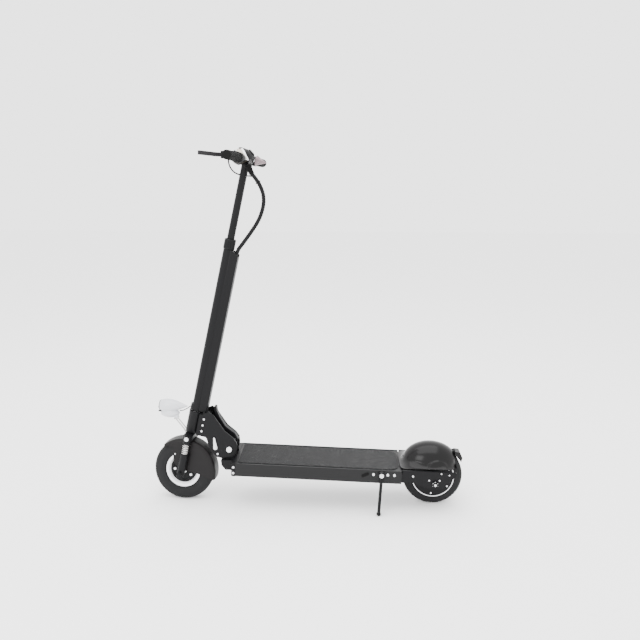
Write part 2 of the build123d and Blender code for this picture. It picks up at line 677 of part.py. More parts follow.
# ================================================================ cables
def tube_along(route, radius):
    """Straight runs joined by the largest tangent arcs that the runs allow."""
    points = [Vector(*point) for point in route]
    radii = []
    for before, corner, after in zip(points, points[1:], points[2:]):
        turn = math.radians((corner - before).get_angle(after - corner))
        shorter = min((corner - before).length, (after - corner).length)
        radii.append(0.45 * shorter / math.tan(turn / 2))
    print("smallest bend", round(min(radii), 1), "of radii", [round(value) for value in radii])
    with BuildPart() as tube:
        with BuildLine() as path:
            FilletPolyline(*points, radius=radii)
        with BuildSketch(Plane(origin=path.line @ 0, z_dir=path.line % 0)):
            Circle(radius)
        sweep(path=path.line)
    length = sum(edge.length for edge in path.edges())
    section = math.pi * radius**2
    print("length", round(length, 1), "volume over section", round(tube.part.volume / section, 1))
    return tube


MAIN_CABLE = [(-26.5, 0, 700), (-26.4, 0, 746), (-42, 0.5, 777), (-62, 2, 820), (-79, 3.5, 862),
              (-85, 5, 905),
              (-80, 8, 940), (-64, 12, 968), (-43, 17, 990), (-23, 21, 1006), (-13, 24, 1024)]
cable_loop = tube_along(MAIN_CABLE, CABLE_R)
save(cable_loop, "cable_loop", STEER)

BRAKE_CABLE = [(36, 83.5, 0), (39, 68, -7), (42, 53, -18), (40, 36, -32), (34, 14, -43), (24, -8, -48),
               (10, -18.5, -50.5), (-5, -14, -51.5), (-16, -3, -53), (-26.5, 7.5, -55)]
brake_cable = tube_along(BRAKE_CABLE, 1.5)
save(brake_cable, "brake_cable", BAR)

LAMP_WIRE = [(55.5, 0, 186), (46, 1, 189), (37, 0, 196), (29, -1, 203), (23, 0, 211)]
headlight_wire = tube_along(LAMP_WIRE, 1.5)
save(headlight_wire, "headlight_wire", STEER)

# ================================================================ deck
with BuildPart() as deck_frame:
    deck_length = DECK_FRONT - DECK_REAR
    with BuildSketch(Plane.YZ.offset(DECK_REAR)) as section:
        with BuildLine():
            half = Polyline((0, -DECK_DEPTH), (DECK_HALF_WIDTH, -DECK_DEPTH), (DECK_HALF_WIDTH, 0),
                            (ARM_OUT, 0),
                            (ARM_OUT, -4), (ARM_OUT - 9, -4), (ARM_OUT - 9, -7), (ARM_OUT, -7),
                            (ARM_OUT, -DECK_DEPTH + WALL), (0, -DECK_DEPTH + WALL))
            mirror(half, about=Plane.YZ)
        make_face()
    extrude(amount=deck_length)
    fillet(deck_frame.edges().filter_by(Axis.X).group_by(Axis.Z)[0], 4)
    for side in (1, -1):
        with Locations(*[(x, side * DECK_HALF_WIDTH, BOLT_LINE) for x in ARM_BOLTS]):
            Cylinder(3, 20, rotation=(90, 0, 0), mode=Mode.SUBTRACT)
    with Locations((KICKSTAND_X, DECK_HALF_WIDTH, STAND_PIVOT[1])):
        Cylinder(STAND_BOLT_R, 20, rotation=(90, 0, 0), mode=Mode.SUBTRACT)
save(deck_frame, "deck_frame", DECK)

with BuildPart() as deck_lid:
    with Locations(((DECK_FRONT + DECK_REAR) / 2, 0, -2.8)):
        Box(deck_length, 2 * (ARM_OUT - 0.4), 2.4)
save(deck_lid, "deck_lid", DECK)

MAT_FRONT = 218.0
MAT_REAR = -298.0
with BuildPart() as grip_mat:
    with Locations(((MAT_FRONT + MAT_REAR) / 2, 0, -0.6)):
        Box(MAT_FRONT - MAT_REAR, 144, 2)
    fillet(grip_mat.edges().filter_by(Axis.Z).group_by(Axis.X)[0], 34)
    fillet(grip_mat.edges().filter_by(Axis.Z).group_by(Axis.X)[-1], 8)
save(grip_mat, "grip_mat", DECK)

with BuildPart() as battery_pack:
    with Locations((20, 0, -24)):
        Box(330, 132, 31)
    fillet(battery_pack.edges().filter_by(Axis.X), 6)
save(battery_pack, "battery_pack", DECK)

with BuildPart() as motor_controller:
    with Locations((-205, 0, -26)):
        Box(90, 78, 27)
    with Locations((-205, 0, -14)):
        with GridLocations(0, 9, 1, 8):
            Box(90, 4, 5, mode=Mode.SUBTRACT)
save(motor_controller, "motor_controller", DECK)

# ================================================================ rear frame arms
AXLE_IN_DECK = in_deck(REAR_AXLE_X, REAR_WHEEL_R)
with BuildPart() as rear_arms:
    for side in (1, -1):
        with BuildSketch(side_plane(side * ARM_IN)) as arm_shape:
            with BuildLine():
                Polyline((-205, -9), (-205, -38), (-318, -38), (-345, -37),
                         (AXLE_IN_DECK[0] + 22, AXLE_IN_DECK[1] - 16),
                         (AXLE_IN_DECK[0] - 22, AXLE_IN_DECK[1] - 16), (-478, -8), (-478, 2),
                         (-308, 2), (-308, -9), close=True)
            make_face()
            fillet(arm_shape.vertices().group_by(Axis.X)[0], 4)
            with Locations(AXLE_IN_DECK):
                Circle(AXLE_R, mode=Mode.SUBTRACT)
            with Locations(*[(x, BOLT_LINE) for x in ARM_BOLTS]):
                Circle(3, mode=Mode.SUBTRACT)
        extrude(amount=side * -(ARM_OUT - ARM_IN))
save(rear_arms, "rear_arms", DECK)

with BuildPart() as deck_bolts:
    for side in (1, -1):
        with BuildSketch(side_plane(side * ARM_IN)):
            with Locations(*[(x, BOLT_LINE) for x in ARM_BOLTS]):
                Circle(3)
        extrude(amount=side * -(DECK_HALF_WIDTH - ARM_IN))
        with BuildSketch(side_plane(side * DECK_HALF_WIDTH)):
            with Locations(*[(x, BOLT_LINE) for x in ARM_BOLTS]):
                Circle(5)
            with Locations((DECK_FRONT + 6, -12), (DECK_FRONT + 6, -31)):
                Circle(4.2)
        extrude(amount=side * -2.6)
        with BuildSketch(side_plane(side * ARM_OUT)):
            with Locations((-341, -15), (-430, -2.5), (-455, -6)):
                Circle(3.6)
        extrude(amount=side * -2.4)
    with BuildSketch(side_plane(ARM_OUT)):
        with Locations(STAND_PIVOT):
            Circle(STAND_BOLT_R)
    extrude(amount=-(STAND_Y + 6 - ARM_OUT))
    with BuildSketch(side_plane(DECK_HALF_WIDTH)):
        with Locations(STAND_PIVOT):
            Circle(8)
    extrude(amount=-2.6)
    with BuildSketch(side_plane(STAND_Y + 5.2)):
        with Locations(STAND_PIVOT):
            RegularPolygon(9, 6)
    extrude(amount=-5)
save(deck_bolts, "deck_bolts", DECK)

with BuildPart() as rear_axle:
    with Locations(side_plane(0).location):
        Cylinder(AXLE_R, 2 * (ARM_OUT + 9))
    for side in (1, -1):
        with BuildSketch(side_plane(side * ARM_OUT)):
            Circle(11)
            Circle(AXLE_R, mode=Mode.SUBTRACT)
        extrude(amount=side * -1.6)
        with BuildSketch(side_plane(side * (ARM_OUT + 1.6))):
            RegularPolygon(9.5, 6)
            Circle(AXLE_R, mode=Mode.SUBTRACT)
        extrude(amount=side * -6)
        with BuildSketch(side_plane(side * (TYRE_HALF_WIDTH + 5))):
            Circle(10)
            Circle(AXLE_R, mode=Mode.SUBTRACT)
        extrude(amount=side * -(ARM_IN - TYRE_HALF_WIDTH - 5))
save(rear_axle, "rear_axle", REAR)

with BuildPart() as motor_stator:
    with BuildSketch(side_plane(-14)):
        Circle(56)
        with PolarLocations(45, 24):
            Rectangle(18, 4, mode=Mode.SUBTRACT)
        Circle(AXLE_R, mode=Mode.SUBTRACT)
    extrude(amount=-28)
save(motor_stator, "motor_stator", REAR)

# ================================================================ rear wheel
with BuildPart() as rear_tyre:
    add(tyre_profile(MOTOR_R, REAR_WHEEL_R))
    revolve(axis=Axis.Y)
save(rear_tyre, "rear_tyre", REAR)

with BuildPart() as motor_shell:
    with BuildSketch(side_plane(-20)):
        Circle(MOTOR_R)
        Circle(MOTOR_R - 8, mode=Mode.SUBTRACT)
    extrude(amount=-40)
save(motor_shell, "motor_shell", REAR)

with BuildPart() as motor_covers:
    for side in (1, -1):
        with BuildSketch(side_plane(side * 20)):
            Circle(MOTOR_R - 1)
            Circle(13, mode=Mode.SUBTRACT)
        extrude(amount=side * -5)
        with BuildSketch(side_plane(side * 25)):
            Circle(34)
            Circle(13, mode=Mode.SUBTRACT)
        extrude(amount=side * -3)
save(motor_covers, "motor_covers", REAR)

with BuildPart() as motor_bearings:
    for side in (1, -1):
        with BuildSketch(side_plane(side * 19)):
            Circle(13)
            Circle(AXLE_R + FIT, mode=Mode.SUBTRACT)
        extrude(amount=side * -8)
save(motor_bearings, "motor_bearings", REAR)

with BuildPart() as motor_screws:
    for side in (1, -1):
        with BuildSketch(side_plane(side * 25)):
            with PolarLocations(57, 6, start_angle=-25):
                Circle(3.2)
        extrude(amount=side * -2)
save(motor_screws, "motor_screws", REAR)

# ================================================================ rear fender and tail light
BASE_HALF = 72.0
FENDER_WALL = 3.0


def fender_dome(wall):
    """The upper half of an egg over the rear wheel, less a wall all round."""
    with BuildPart() as dome:
        Sphere(1)
        scale(by=tuple(half - wall for half in DOME_SIZE))
        with Locations((0, 0, -100)):
            Box(300, 300, 200, mode=Mode.SUBTRACT)
    return dome.part


outer_dome = fender_dome(0)
inner_dome = fender_dome(FENDER_WALL)
with BuildPart() as rear_fender:
    with BuildSketch(Plane.XY.offset(FENDER_BASE)) as base_shape:
        with Locations((-390, 0)):
            Rectangle(176, 2 * BASE_HALF)
        fillet(base_shape.vertices(), 22)
    extrude(amount=3)
    with Locations((DOME_X, 0, FENDER_BASE)):
        add(outer_dome)
        add(inner_dome, mode=Mode.SUBTRACT)
    with Locations((REAR_FENDER_END, 0, 150)):
        Box(100, 200, 200, align=(Align.MAX, Align.CENTER, Align.CENTER), mode=Mode.SUBTRACT)
save(rear_fender, "rear_fender", WORLD)

with BuildPart() as tail_light:
    with BuildSketch(side_plane(-16)) as tail_shape:
        with BuildLine():
            Polyline((REAR_FENDER_END, 177), (-499, 174.5), (TAIL_END, 156), (-503.5, 141), (-497.5, 149.5),
                     (-489, 159.5), (REAR_FENDER_END, 166), close=True)
        make_face()
    extrude(amount=-32)
    fillet(tail_light.edges().filter_by(Axis.Y).group_by(Axis.X)[0], 1.5)
save(tail_light, "tail_light", WORLD)

with BuildPart() as rear_deck_cover:
    with Locations((DECK_REAR - 21, 0, -3.5)):
        Box(42, 2 * (ARM_IN - 0.5), 3)
    with Locations((DECK_REAR - 38, 0, -3.5)):
        Box(60, 2 * TYRE_HALF_WIDTH + 10, 4, mode=Mode.SUBTRACT)
    with Locations((DECK_REAR - 1.5, 0, -22)):
        Box(3, 2 * (ARM_IN - 0.5), 34)
save(rear_deck_cover, "rear_deck_cover", DECK)

with BuildPart() as charge_cap:
    with BuildSketch(side_plane(DECK_HALF_WIDTH)) as cap_shape:
        with Locations(CHARGE_PLACE):
            SlotOverall(26, 9, rotation=-25)
    extrude(amount=-2)
save(charge_cap, "charge_cap", DECK)

# ================================================================ kickstand
stand_world = DECK * Location((STAND_PIVOT[0], 0, STAND_PIVOT[1]))
PIVOT_HEIGHT = stand_world.position.Z
STAND_X = stand_world.position.X
with BuildPart() as kickstand_leg:
    with BuildSketch(side_plane(DECK_HALF_WIDTH + 2.9)):
        Circle(10)
        Circle(STAND_BOLT_R + FIT, mode=Mode.SUBTRACT)
    extrude(amount=-9)
    with BuildLine() as leg_path:
        Line((0, STAND_Y, -9), (FOOT_X - STAND_X, FOOT_Y, FOOT_R - PIVOT_HEIGHT))
    with BuildSketch(Plane(origin=leg_path.line @ 0, z_dir=leg_path.line % 0)):
        Circle(5)
    sweep(path=leg_path.line)
    with Locations(leg_path.line @ 1):
        Sphere(FOOT_R)
    with Locations(side_plane(0).location):
        Cylinder(STAND_BOLT_R + FIT, 260, mode=Mode.SUBTRACT)
save(kickstand_leg, "kickstand_leg", Location((STAND_X, 0, PIVOT_HEIGHT)))
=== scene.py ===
import json
import math

import bmesh
import bpy
from mathutils import Matrix, Vector

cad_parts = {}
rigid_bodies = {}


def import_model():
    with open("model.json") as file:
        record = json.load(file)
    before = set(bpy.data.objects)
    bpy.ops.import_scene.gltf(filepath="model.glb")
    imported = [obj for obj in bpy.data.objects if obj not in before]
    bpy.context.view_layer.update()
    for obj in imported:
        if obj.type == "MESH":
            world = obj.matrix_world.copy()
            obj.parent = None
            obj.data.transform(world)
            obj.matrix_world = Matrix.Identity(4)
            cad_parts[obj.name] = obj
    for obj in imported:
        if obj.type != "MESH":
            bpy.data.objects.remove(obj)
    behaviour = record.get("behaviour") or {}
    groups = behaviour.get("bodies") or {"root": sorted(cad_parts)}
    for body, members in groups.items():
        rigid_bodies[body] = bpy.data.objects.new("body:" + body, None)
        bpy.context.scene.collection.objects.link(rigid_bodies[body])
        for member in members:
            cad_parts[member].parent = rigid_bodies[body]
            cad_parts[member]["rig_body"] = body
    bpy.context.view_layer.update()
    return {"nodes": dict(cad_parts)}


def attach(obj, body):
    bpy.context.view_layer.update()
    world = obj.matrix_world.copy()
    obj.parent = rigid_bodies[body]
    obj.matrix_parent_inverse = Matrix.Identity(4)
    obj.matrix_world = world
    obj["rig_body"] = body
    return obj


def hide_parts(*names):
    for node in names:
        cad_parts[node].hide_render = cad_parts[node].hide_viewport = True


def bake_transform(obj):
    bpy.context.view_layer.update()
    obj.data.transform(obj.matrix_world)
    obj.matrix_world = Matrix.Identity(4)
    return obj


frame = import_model()
NODES = frame["nodes"]
MM = 0.001
SIDES = (1, -1)                  # the rider's left and right


# ================================================================ places, as in the CAD
def shift(x, y, z):
    return Matrix.Translation((x * MM, y * MM, z * MM))


def turn(degrees, axis):
    return Matrix.Rotation(math.radians(degrees), 4, axis)


RAKE = 12.0                      # degrees that the stem leans back
STEER_REST = 6.0                 # degrees that the front end stands turned to the right
BAR_HEIGHT = 1040                # along the steering axis
DECK_PITCH = 1.75
DECK_TOP = 147
WORLD = Matrix.Identity(4)
HEAD = shift(407.5, 0, 100) @ turn(-RAKE, "Y")
STEER = HEAD @ turn(-STEER_REST, "Z")
LEVEL = STEER @ turn(RAKE, "Y")
BAR = STEER @ shift(0, 0, BAR_HEIGHT) @ turn(RAKE, "Y")
DECK = shift(0, 0, DECK_TOP) @ turn(-DECK_PITCH, "Y")
REAR = shift(-410.5, 0, 97)
LEFT = turn(-90, "X")            # local +Z points to the rider's left
RIGHT = turn(90, "X")


def point(place, x, y, z):
    """A spot in metres in the shared frame, from millimetres in a place of its own."""
    return place @ Vector((x * MM, y * MM, z * MM))


def facing(way):
    """A turn that brings local +Z along a direction."""
    return way.to_track_quat("Z", "Y").to_matrix().to_4x4()


# ================================================================ camera
CAMERA_AT = (-0.1139, 1.9975, 1.0386)
YAW, PITCH, ROLL = 0.0365, 0.1125, 0.0026
camera_data = bpy.data.cameras.new("camera")
camera = bpy.data.objects.new("camera", camera_data)
bpy.context.scene.collection.objects.link(camera)
bpy.context.scene.camera = camera
forward = Vector((math.sin(YAW) * math.cos(PITCH), -math.cos(YAW) * math.cos(PITCH), -math.sin(PITCH)))
camera.rotation_mode = "QUATERNION"
camera.rotation_quaternion = forward.to_track_quat("-Z", "Y") @ Matrix.Rotation(ROLL, 3, "Z").to_quaternion()
camera.location = CAMERA_AT
camera_data.lens = 35.5
camera_data.sensor_width = 36.0
camera_data.shift_y = -0.1
camera_data.clip_start = 0.05
camera_data.clip_end = 60.0


# ================================================================ materials
def material(name, colour, rough, metal=0.0, grain=(900.0, 0.05), blotch=(9.0, 0.15), coat=0.0, specular=0.12,
             specks=0.0, fade=None):
    """A surface with a fine grain in its bump, slow changes in its colour and gloss, and perhaps pale specks
    that fade in between two places along the scooter."""
    made = bpy.data.materials.new(name)
    made.use_nodes = True
    nodes, links = made.node_tree.nodes, made.node_tree.links
    shader = nodes["Principled BSDF"]
    shader.inputs["Metallic"].default_value = metal
    shader.inputs["Coat Weight"].default_value = coat
    shader.inputs["Coat Roughness"].default_value = 0.12
    shader.inputs["Specular IOR Level"].default_value = specular
    place = nodes.new("ShaderNodeTexCoord")
    slow = nodes.new("ShaderNodeTexNoise")
    slow.inputs["Scale"].default_value = blotch[0]
    slow.inputs["Detail"].default_value = 5.0
    links.new(place.outputs["Object"], slow.inputs["Vector"])
    tint = nodes.new("ShaderNodeMix")
    tint.data_type = "RGBA"
    low = [c * (1 - blotch[1]) for c in colour]
    high = [min(1.0, c * (1 + blotch[1])) for c in colour]
    tint.inputs["A"].default_value = (*low, 1)
    tint.inputs["B"].default_value = (*high, 1)
    links.new(slow.outputs["Fac"], tint.inputs["Factor"])
    links.new(tint.outputs["Result"], shader.inputs["Base Color"])
    gloss = nodes.new("ShaderNodeMapRange")
    gloss.inputs["To Min"].default_value = max(0.03, rough - 0.08)
    gloss.inputs["To Max"].default_value = min(1.0, rough + 0.08)
    links.new(slow.outputs["Fac"], gloss.inputs["Value"])
    links.new(gloss.outputs["Result"], shader.inputs["Roughness"])
    fine = nodes.new("ShaderNodeTexNoise")
    fine.inputs["Scale"].default_value = grain[0]
    fine.inputs["Detail"].default_value = 3.0
    links.new(place.outputs["Object"], fine.inputs["Vector"])
    if specks:
        spots = nodes.new("ShaderNodeMapRange")
        spots.inputs["From Min"].default_value = 0.58
        spots.inputs["From Max"].default_value = 0.7
        spots.inputs["To Max"].default_value = specks
        pale = nodes.new("ShaderNodeMix")
        pale.data_type = "RGBA"
        pale.inputs["B"].default_value = (0.35, 0.35, 0.35, 1)
        links.new(fine.outputs["Fac"], spots.inputs["Value"])
        along = nodes.new("ShaderNodeSeparateXYZ")
        rise = nodes.new("ShaderNodeMapRange")
        rise.inputs["From Min"].default_value, rise.inputs["From Max"].default_value = fade
        rise.inputs["To Min"].default_value = 0.35
        both = nodes.new("ShaderNodeMath")
        both.operation = "MULTIPLY"
        links.new(place.outputs["Object"], along.inputs["Vector"])
        links.new(along.outputs["X"], rise.inputs["Value"])
        links.new(rise.outputs["Result"], both.inputs[0])
        links.new(spots.outputs["Result"], both.inputs[1])
        links.new(both.outputs["Value"], pale.inputs["Factor"])
        links.new(tint.outputs["Result"], pale.inputs["A"])
        links.new(pale.outputs["Result"], shader.inputs["Base Color"])
    bump = nodes.new("ShaderNodeBump")
    bump.inputs["Strength"].default_value = grain[1]
    bump.inputs["Distance"].default_value = 0.001
    links.new(fine.outputs["Fac"], bump.inputs["Height"])
    links.new(bump.outputs["Normal"], shader.inputs["Normal"])
    return made


M = {
    "black_metal": material("powder_black", (0.0035, 0.0035, 0.004), 0.4, grain=(1400, 0.12)),
    "deck_metal": material("deck_black", (0.006, 0.006, 0.0064), 0.42, grain=(1200, 0.15), specular=0.18),
    "black_plastic": material("moulded_black", (0.003, 0.003, 0.0034), 0.55, grain=(1800, 0.2), specular=0.08),
    "fender_plastic": material("fender_black", (0.0052, 0.0045, 0.0048), 0.42, grain=(1800, 0.15), specular=0.15),
    "gloss_black": material("gloss_black", (0.0016, 0.0014, 0.0016), 0.24, grain=(300, 0.02), coat=0.06,
                            specular=0.16),
    "gloss_white": material("gloss_white", (0.56, 0.57, 0.6), 0.2, grain=(300, 0.02), blotch=(6, 0.03), coat=0.5,
                            specular=0.5),
    "silver_paint": material("silver_paint", (0.86, 0.86, 0.88), 0.3, metal=0.2, grain=(2200, 0.1), blotch=(12, 0.05),
                             specular=0.5),
    "cone_silver": material("cone_silver", (0.2, 0.155, 0.165), 0.34, metal=0.5, grain=(1500, 0.08), blotch=(90, 0.55),
                            specular=0.3),
    "steel": material("zinc_steel", (0.72, 0.72, 0.73), 0.28, metal=1.0, grain=(1600, 0.15), blotch=(60, 0.1)),
    "chrome": material("chrome", (0.5, 0.49, 0.48), 0.14, metal=1.0, grain=(900, 0.02), blotch=(90, 0.3)),
    "alloy": material("satin_alloy", (0.55, 0.56, 0.57), 0.35, metal=1.0, grain=(1600, 0.15)),
    "rubber": material("rubber", (0.0036, 0.0036, 0.0036), 0.75, grain=(1100, 0.3), specular=0.1),
    "lever_grey": material("lever_coating", (0.011, 0.0105, 0.0115), 0.45, grain=(1300, 0.15), blotch=(40, 0.25),
                            specular=0.2),
    "panel_olive": material("panel_olive", (0.014, 0.0115, 0.0075), 0.55, grain=(1500, 0.3), blotch=(45, 0.35)),
    "panel_tan": material("panel_tan", (0.42, 0.38, 0.33), 0.38, metal=0.2, grain=(1500, 0.1), blotch=(50, 0.12)),
    # the deck mat's pale specks run from about a third of their strength at its front to full strength at its rear, so
    # the mat is lighter towards the rear
    "mat": material("deck_mat", (0.0085, 0.0085, 0.009), 0.85, grain=(620, 0.9), blotch=(5, 0.25), specular=0.2,
                    specks=0.45, fade=(0.22, -0.30)),
    "tyre": material("tyre", (0.0055, 0.0055, 0.006), 0.7, grain=(700, 0.25), blotch=(20, 0.3), specular=0.2),
    "tail_lens": material("tail_lens", (0.05, 0.008, 0.008), 0.25, grain=(300, 0.03), coat=0.2),
    "cable": material("cable_wrap", (0.0036, 0.0036, 0.0042), 0.45, grain=(1300, 0.2)),
    "glass": material("clear_lens", (0.45, 0.47, 0.5), 0.08, grain=(250, 0.15), blotch=(30, 0.1), coat=0.4,
                      specular=0.5),
}
M["glass"].node_tree.nodes["Principled BSDF"].inputs["Transmission Weight"].default_value = 0.6


# ================================================================ making meshes
def new_piece(name, mesh, finish, body, replaces=(), sharp=35):
    """Link a mesh that is already in metres and in the shared frame, and let it ride on its body."""
    mesh.materials.clear()
    mesh.materials.append(M[finish])
    mesh.shade_smooth()
    mesh.set_sharp_from_angle(angle=math.radians(sharp))
    piece = bpy.data.objects.new(name, mesh)
    bpy.context.scene.collection.objects.link(piece)
    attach(piece, body)
    if replaces:
        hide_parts(*replaces)
    return piece


def mesh_from(name, shape, place=WORLD, scale=MM):
    """A mesh from a bmesh that is built in millimetres, unless scale says otherwise."""
    bmesh.ops.recalc_face_normals(shape, faces=shape.faces)
    mesh = bpy.data.meshes.new(name)
    shape.transform(place @ Matrix.Scale(scale, 4))
    shape.to_mesh(mesh)
    shape.free()
    return mesh


def ring_solid(shape, rings, sides, place=WORLD):
    """Skin a stack of rings, each (radius, z); a radius may be a function of the angle, and 0 closes an end."""
    loops = []
    for radius, z in rings:
        if radius == 0:
            loops.append([shape.verts.new(place @ Vector((0, 0, z)))])
            continue
        loop = []
        for i in range(sides):
            angle = 2 * math.pi * i / sides
            size = radius(angle) if callable(radius) else radius
            loop.append(shape.verts.new(place @ Vector((size * math.cos(angle), size * math.sin(angle), z))))
        loops.append(loop)
    for low, high in zip(loops, loops[1:]):
        for i in range(sides):
            j = (i + 1) % sides
            if len(low) == 1:
                shape.faces.new((low[0], high[j], high[i]))
            elif len(high) == 1:
                shape.faces.new((low[i], low[j], high[0]))
            else:
                shape.faces.new((low[i], low[j], high[j], high[i]))


def hexagon(radius):
    """The radius of a hexagon as a function of the angle, by its corner radius."""
    def at(angle):
        local = (angle + math.pi / 6) % (math.pi / 3) - math.pi / 6
        return radius * math.cos(math.pi / 6) / math.cos(local)
    return at


def screw_head(shape, radius, height, place):
    """A round head with a hexagon socket."""
    socket = hexagon(radius * 0.5)
    rings = [(0, 0), (radius, 0), (radius, height * 0.45), (radius * 0.86, height * 0.85),
             (radius * 0.62, height), (socket, height), (socket, height * 0.35), (0, height * 0.3)]
    ring_solid(shape, rings, 24, place)


def nut(shape, radius, height, place):
    """A hexagon nut with the end of its bolt standing out."""
    flat = radius * math.cos(math.pi / 6)
    rod, stub_height = radius * 0.4, 2.5
    ring_solid(shape, [(0, 0), (hexagon(radius), 0), (hexagon(radius), height * 0.86), (flat * 0.97, height),
                       (rod, height), (rod, height + stub_height), (rod * 0.8, height + stub_height + 0.5),
                       (0, height + stub_height + 0.5)], 36, place)


def turned(name, rings, sides, place, finish, body, replaces=()):
    """A piece made of one stack of rings."""
    shape = bmesh.new()
    ring_solid(shape, rings, sides, place)
    new_piece(name, mesh_from(name, shape), finish, body, replaces, 30)


def mm(matrix):
    """A place whose shift is in millimetres, for meshes that are built in millimetres."""
    scaled = matrix.copy()
    scaled.translation = matrix.translation / MM
    return scaled


def at_side(place, x, z, y, side):
    """A spot on the side of the scooter, with local +Z pointing outwards."""
    return mm(place) @ Matrix.Translation((x, side * y, z)) @ (LEFT if side > 0 else RIGHT)


def rounded(node, width, finish):
    """A copy of a CAD piece with its sharp edges softly rounded, standing in for it."""
    source = NODES[node]
    shape = bmesh.new()
    shape.from_mesh(source.data)
    bmesh.ops.remove_doubles(shape, verts=shape.verts, dist=2e-6)
    bmesh.ops.dissolve_limit(shape, angle_limit=math.radians(1.2), verts=shape.verts, edges=shape.edges)
    mesh = bpy.data.meshes.new(node + "_look")
    shape.to_mesh(mesh)
    shape.free()
    piece = new_piece(node + "_look", mesh, finish, source["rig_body"], (node,), 40)
    bevel = piece.modifiers.new("soft_edges", "BEVEL")
    bevel.width = width * MM
    bevel.segments = 2
    bevel.limit_method = "ANGLE"
    bevel.angle_limit = math.radians(32)
    bevel.harden_normals = True


# ================================================================ CAD pieces that only need rounding or a finish
ROUNDED = {
    "front_rim": (0.8, "silver_paint"), "front_hub": (0.8, "black_metal"), "fork_lowers": (1.2, "black_metal"),
    "fork_crown": (1.0, "black_metal"), "fold_plates": (0.8, "black_metal"), "fold_lever": (1.5, "black_metal"),
    "latch_lever": (0.5, "steel"), "fold_pins": (0.5, "steel"), "head_tube": (0.8, "black_metal"),
    "neck_bracket": (1.0, "black_metal"), "outer_stem": (0.8, "black_metal"), "lock_collar": (0.5, "black_metal"),
    "handlebar_post": (1.0, "black_metal"), "handlebar": (0.6, "black_metal"), "deck_frame": (0.8, "deck_metal"),
    "deck_lid": (0.4, "deck_metal"), "grip_mat": (0.4, "mat"), "rear_arms": (0.8, "black_metal"),
    "rear_deck_cover": (0.6, "black_plastic"), "front_fender": (0.7, "fender_plastic"),
    "tail_light": (0.8, "gloss_black"), "motor_covers": (0.8, "black_metal"), "motor_shell": (0.8, "black_metal"),
    "kickstand_leg": (0.8, "black_metal"), "cockpit_shell": (0.6, "black_plastic"),
    "display_unit": (0.4, "black_plastic"), "brake_perch": (1.0, "black_plastic"),
    "brake_lever": (1.2, "lever_grey"), "throttle_lever": (0.8, "black_plastic"), "charge_cap": (0.5, "rubber"),
    "headlight_shell": (0.5, "gloss_white"),
}
for node_name, (edge, finish) in ROUNDED.items():
    rounded(node_name, edge, finish)

PLAIN = {
    "front_hub_bolts": "steel", "front_wheel_bearings": "steel", "fork_stanchions": "chrome",
    "headset_bearings": "steel", "neck_bushes": "alloy", "headlight_bracket": "chrome", "headlight_lens": "glass",
    "power_button": "rubber", "mode_button": "rubber", "battery_pack": "black_plastic", "motor_controller": "alloy",
    "motor_stator": "black_metal", "motor_bearings": "steel", "front_axle": "black_metal", "rear_axle": "black_metal",
}
for node_name, finish in PLAIN.items():
    slots = NODES[node_name].data.materials
    slots.clear()
    slots.append(M[finish])

# the plates' rear edge is drawn in a little, so that it clears the neck bracket when the scooter is folded
EDGE_BEHIND, EDGE_LOW, EDGE_HIGH = 0.229, 0.178, 0.2
EDGE_RELIEF = 0.0016
for vertex in bpy.data.objects["fold_plates_look"].data.vertices:
    if vertex.co.x < EDGE_BEHIND and EDGE_LOW < vertex.co.z < EDGE_HIGH:
        vertex.co.x += EDGE_RELIEF

# a chrome copy of the fork's coils stands in for the CAD ones, baked into the shared frame
coils = NODES["fork_springs"].data.copy()
coils.transform(NODES["fork_springs"].matrix_world)
coils.materials.clear()
coils.materials.append(M["chrome"])
coils.shade_smooth()
springs = bpy.data.objects.new("fork_springs_look", coils)
bpy.context.scene.collection.objects.link(springs)
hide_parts("fork_springs")
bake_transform(springs)


# ================================================================ tyres, grips and rings: turned pieces
def lathe(name, profile, sides, place, finish, body, replaces=(), relief=None):
    """Turn a closed profile of (radius, height) about local Z; relief(angle, radius, height) comes off the radius."""
    shape = bmesh.new()
    columns = []
    for i in range(sides):
        angle = 2 * math.pi * i / sides
        column = []
        for radius, height in profile:
            size = radius - (relief(math.degrees(angle), radius, height) if relief else 0)
            column.append(shape.verts.new((size * math.cos(angle), size * math.sin(angle), height)))
        columns.append(column)
    for i in range(sides):
        here, there = columns[i], columns[(i + 1) % sides]
        for j in range(len(profile)):
            k = (j + 1) % len(profile)
            shape.faces.new((here[j], there[j], there[k], here[k]))
    new_piece(name, mesh_from(name, shape, place), finish, body, replaces)


def tyre_outline(bead, crown):
    """The closed profile of a tyre, by the radius of its bead and of its crown."""
    wall = [(bead, 17.0), (bead + 1.6, 19.2), (bead + 4, 20.6), (bead + 5, 22.0), (bead + 7, 22.0), (bead + 8, 21.9)]
    swell = crown - 26
    wall += [(bead + 11, 23.0), (swell, 24.0), (swell + 5, 23.8), (crown - 15, 22.6), (crown - 12, 21.6)]
    wall += [(crown - 11, 22.0), (crown - 8.5, 21.0), (crown - 7.5, 20.2), (crown - 5, 18.6), (crown - 3, 16.6)]
    wall += [(crown - 1.7, 14.4), (crown - 0.9, 12.4)]
    tread = [(crown - 0.3, 10.4), (crown, 9.0), (crown, 6.9), (crown, 6.8), (crown, 5.4), (crown, 5.3), (crown, 0.9),
             (crown, 0.8)]
    half = wall + tread
    return half + [(radius, -height) for radius, height in reversed(half)]


def tread_relief(crown):
    """Two grooves round the tyre, and short sipes across each shoulder."""
    def cut(angle, radius, height):
        side = abs(height)
        if side < 0.85 or 5.35 < side < 6.85:
            return 1.6
        shoulder = 8.5 < side < 19 and radius > crown - 6
        return 1.4 if shoulder and angle % 7.5 < 1.0 else 0
    return cut


